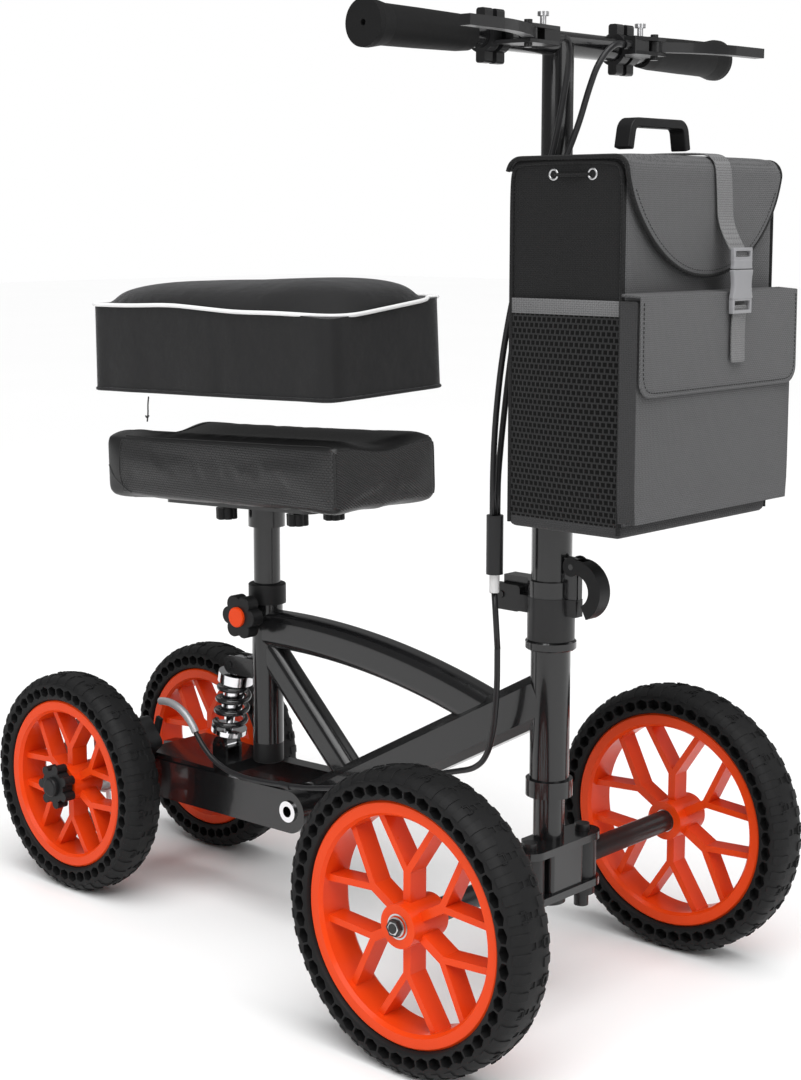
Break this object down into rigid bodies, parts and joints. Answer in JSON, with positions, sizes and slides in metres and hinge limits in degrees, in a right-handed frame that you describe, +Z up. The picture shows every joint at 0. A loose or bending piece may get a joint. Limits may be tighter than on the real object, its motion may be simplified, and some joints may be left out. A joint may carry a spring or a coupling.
{
  "type": "knee scooter",
  "caption": "Four-wheeled knee scooter with linked front steering, folding stem, suspended rear arm, padded knee rest with lift-off cover and a front bag.",
  "frame": {"origin": "on the ground, in the middle of the scooter's length and width", "axes": "+Z up, -Y forward, +X to the rider's left"},
  "size_m": [0.572, 0.9979, 1.031],
  "materials": {
    "frame_black": "gloss black powder coat",
    "satin_black_metal": "satin black cast metal",
    "black_plastic": "matte moulded plastic",
    "orange_plastic": "glossy moulded nylon",
    "tyre": "solid rubber, honeycomb sides",
    "grip_rubber": "soft matte rubber",
    "cable_sheath": "smooth black cable sheath",
    "bright_steel": "zinc plated steel",
    "chrome": "polished",
    "spring_black": "gloss black coated spring steel",
    "boot_silver": "silver ribbed boot",
    "bag_fabric": "dark grey plain-weave nylon",
    "bag_side": "black coated weave",
    "bag_mesh": "black open mesh",
    "webbing": "grey ribbed webbing",
    "buckle_plastic": "grey moulded plastic",
    "pad_vinyl": "embossed black vinyl",
    "cover_plush": "short black plush",
    "piping_white": "white piping cord",
    "white_plastic": "white ferrule"
  },
  "bodies": {
    "frame": {"head_tube": "frame_black", "headset_cups": "frame_black", "main_beam": "frame_black", "top_tube": "frame_black", "brace": "frame_black", "seat_tube": "frame_black", "seat_tube_ends": "black_plastic", "swing_pivot_sleeve": "chrome", "cable_frame": "cable_sheath"},
    "steering": {"steerer": "satin_black_metal", "cable_riser": "cable_sheath"},
    "tie_rod": {"tie_rod": "satin_black_metal"},
    "knuckle_right": {"steering_knuckle_right": "satin_black_metal"},
    "knuckle_left": {"steering_knuckle_left": "satin_black_metal"},
    "front_wheel_right": {"front_right_wheel": "orange_plastic", "front_right_tyre": "tyre"},
    "front_wheel_left": {"front_left_wheel": "orange_plastic", "front_left_tyre": "tyre"},
    "stem": {"lower_stem": "frame_black", "stem_clamps": "satin_black_metal", "bag_body": "bag_side", "bag_pocket": "bag_fabric", "buckle_socket": "buckle_plastic", "cable_splitter": "cable_sheath"},
    "fold_lever": {"fold_lever": "black_plastic"},
    "height_lever": {"height_lever": "black_plastic"},
    "bag_flap": {"bag_flap": "bag_fabric", "bag_strap": "webbing"},
    "bag_handle": {"bag_handle": "black_plastic"},
    "handlebar": {"handlebar": "frame_black", "grips": "grip_rubber", "lever_brackets": "satin_black_metal", "brake_cable_right": "cable_sheath", "brake_cable_left": "cable_sheath"},
    "brake_lever_right": {"brake_lever_right": "satin_black_metal"},
    "brake_lever_left": {"brake_lever_left": "satin_black_metal"},
    "lock_button_right": {"lock_button_right": "bright_steel"},
    "lock_button_left": {"lock_button_left": "bright_steel"},
    "swing_arm": {"swing_arm": "frame_black", "rear_axle": "bright_steel", "brake_caliper": "satin_black_metal", "cable_boot": "boot_silver", "cable_arm": "cable_sheath"},
    "caliper_arm": {"caliper_arm": "satin_black_metal"},
    "rear_wheel_right": {"rear_right_wheel": "orange_plastic", "rear_right_tyre": "tyre", "brake_disc": "bright_steel"},
    "rear_wheel_left": {"rear_left_wheel": "orange_plastic", "rear_left_tyre": "tyre"},
    "rear_hub_knob_right": {"rear_hub_knob_right": "black_plastic"},
    "rear_hub_knob_left": {"rear_hub_knob_left": "black_plastic"},
    "shock_body": {"shock_body": "chrome", "coil_spring": "spring_black"},
    "shock_rod": {"shock_rod": "chrome"},
    "seat_post": {"seat_post": "frame_black", "knee_pad": "pad_vinyl", "pad_knobs": "black_plastic"},
    "seat_knob": {"seat_knob": "black_plastic", "seat_knob_cap": "orange_plastic"},
    "pad_cover": {"pad_cover": "cover_plush"}
  },
  "joints": [
    {"name": "steer", "type": "hinge", "parent": "frame", "child": "steering", "pos_m": [0, -0.288, 0.3], "axis": [0, 0, 1], "range_deg": [-30, 30]},
    {"name": "knuckle_right_turn", "type": "hinge", "parent": "frame", "child": "knuckle_right", "pos_m": [-0.045, -0.299, 0.15], "axis": [0, 0, 1], "range_deg": [-30, 30]},
    {"name": "knuckle_left_turn", "type": "hinge", "parent": "frame", "child": "knuckle_left", "pos_m": [0.045, -0.299, 0.15], "axis": [0, 0, 1], "range_deg": [-30, 30]},
    {"name": "tie_rod_turn", "type": "hinge", "parent": "steering", "child": "tie_rod", "pos_m": [0, -0.25, 0.102], "axis": [0, 0, 1], "range_deg": [-30, 30]},
    {"name": "front_wheel_right_spin", "type": "hinge", "parent": "knuckle_right", "child": "front_wheel_right", "pos_m": [-0.22575, -0.299, 0.1525], "axis": [1, 0, 0], "continuous": true},
    {"name": "front_wheel_left_spin", "type": "hinge", "parent": "knuckle_left", "child": "front_wheel_left", "pos_m": [0.22575, -0.299, 0.1525], "axis": [1, 0, 0], "continuous": true},
    {"name": "stem_fold", "type": "hinge", "parent": "steering", "child": "stem", "pos_m": [0, -0.235, 0.438], "axis": [-1, 0, 0], "range_deg": [0, 32]},
    {"name": "fold_latch", "type": "hinge", "parent": "stem", "child": "fold_lever", "pos_m": [0, -0.319, 0.476], "axis": [-1, 0, 0], "range_deg": [0, 100]},
    {"name": "handlebar_height", "type": "slide", "parent": "stem", "child": "handlebar", "axis": [0, 0, 1], "range_m": [-0.04, 0.08], "deforming": ["brake_cable_right", "brake_cable_left"]},
    {"name": "height_latch", "type": "hinge", "parent": "stem", "child": "height_lever", "pos_m": [0.043, -0.288, 0.7], "axis": [0, 0, -1], "range_deg": [0, 80]},
    {"name": "bag_flap_open", "type": "hinge", "parent": "stem", "child": "bag_flap", "pos_m": [0, -0.331, 0.8854], "axis": [-1, 0, 0], "range_deg": [0, 60]},
    {"name": "bag_handle_swing", "type": "hinge", "parent": "bag_flap", "child": "bag_handle", "pos_m": [0, -0.405, 0.897], "axis": [1, 0, 0], "range_deg": [-30, 30]},
    {"name": "brake_lever_right_pull", "type": "hinge", "parent": "handlebar", "child": "brake_lever_right", "pos_m": [-0.104, -0.332, 1.005], "axis": [0, 0, -1], "range_deg": [0, 17], "stiffness_Nm_per_rad": 0.6, "springref_deg": -11.46},
    {"name": "lock_button_right_press", "type": "slide", "parent": "handlebar", "child": "lock_button_right", "axis": [0, 0, -1], "range_m": [0, 0.005], "stiffness_N_per_m": 250, "springref_m": -0.003},
    {"name": "brake_lever_left_pull", "type": "hinge", "parent": "handlebar", "child": "brake_lever_left", "pos_m": [0.104, -0.332, 1.005], "axis": [0, 0, 1], "range_deg": [0, 17], "stiffness_Nm_per_rad": 0.6, "springref_deg": -11.46},
    {"name": "lock_button_left_press", "type": "slide", "parent": "handlebar", "child": "lock_button_left", "axis": [0, 0, -1], "range_m": [0, 0.005], "stiffness_N_per_m": 250, "springref_m": -0.003},
    {"name": "swing_arm_travel", "type": "hinge", "parent": "frame", "child": "swing_arm", "pos_m": [0, 0.05, 0.148], "axis": [1, 0, 0], "range_deg": [0, 5.5], "stiffness_Nm_per_rad": 1500, "springref_deg": -2.29, "deforming": ["coil_spring"]},
    {"name": "shock_body_tilt", "type": "hinge", "parent": "frame", "child": "shock_body", "pos_m": [0, 0.193, 0.293], "axis": [1, 0, 0], "range_deg": [-1.2, 0.1]},
    {"name": "shock_rod_tilt", "type": "hinge", "parent": "swing_arm", "child": "shock_rod", "pos_m": [0, 0.214, 0.188], "axis": [1, 0, 0], "range_deg": [-6.7, 0.1]},
    {"name": "caliper_arm_turn", "type": "hinge", "parent": "swing_arm", "child": "caliper_arm", "pos_m": [-0.0576, 0.28585, 0.19029], "axis": [1, 0, 0], "range_deg": [0, 18]},
    {"name": "rear_wheel_right_spin", "type": "hinge", "parent": "swing_arm", "child": "rear_wheel_right", "pos_m": [-0.1165, 0.363, 0.136], "axis": [1, 0, 0], "continuous": true},
    {"name": "rear_hub_knob_right_turn", "type": "hinge", "parent": "swing_arm", "child": "rear_hub_knob_right", "pos_m": [-0.145, 0.363, 0.136], "axis": [1, 0, 0], "continuous": true},
    {"name": "rear_wheel_left_spin", "type": "hinge", "parent": "swing_arm", "child": "rear_wheel_left", "pos_m": [0.1165, 0.363, 0.136], "axis": [1, 0, 0], "continuous": true},
    {"name": "rear_hub_knob_left_turn", "type": "hinge", "parent": "swing_arm", "child": "rear_hub_knob_left", "pos_m": [0.145, 0.363, 0.136], "axis": [1, 0, 0], "continuous": true},
    {"name": "seat_height", "type": "slide", "parent": "frame", "child": "seat_post", "axis": [0, 0, 1], "range_m": [-0.06, 0.02]},
    {"name": "seat_knob_turn", "type": "hinge", "parent": "frame", "child": "seat_knob", "pos_m": [-0.04, 0.14, 0.365], "axis": [1, 0, 0], "continuous": true},
    {"name": "pad_cover_lift", "type": "slide", "parent": "seat_post", "child": "pad_cover", "axis": [0, 0.0384, 0.9993], "range_m": [-0.142, 0]}
  ],
  "couplings": [
    {"joint": "knuckle_right_turn", "follows": "steer", "ratio": 1},
    {"joint": "knuckle_left_turn", "follows": "steer", "ratio": 1},
    {"joint": "tie_rod_turn", "follows": "steer", "ratio": -1},
    {"joint": "shock_body_tilt", "follows": "swing_arm_travel", "ratio": -0.167},
    {"joint": "shock_rod_tilt", "follows": "swing_arm_travel", "ratio": -1.167},
    {"joint": "caliper_arm_turn", "follows": "brake_lever_right_pull", "ratio": 1}
  ]
}
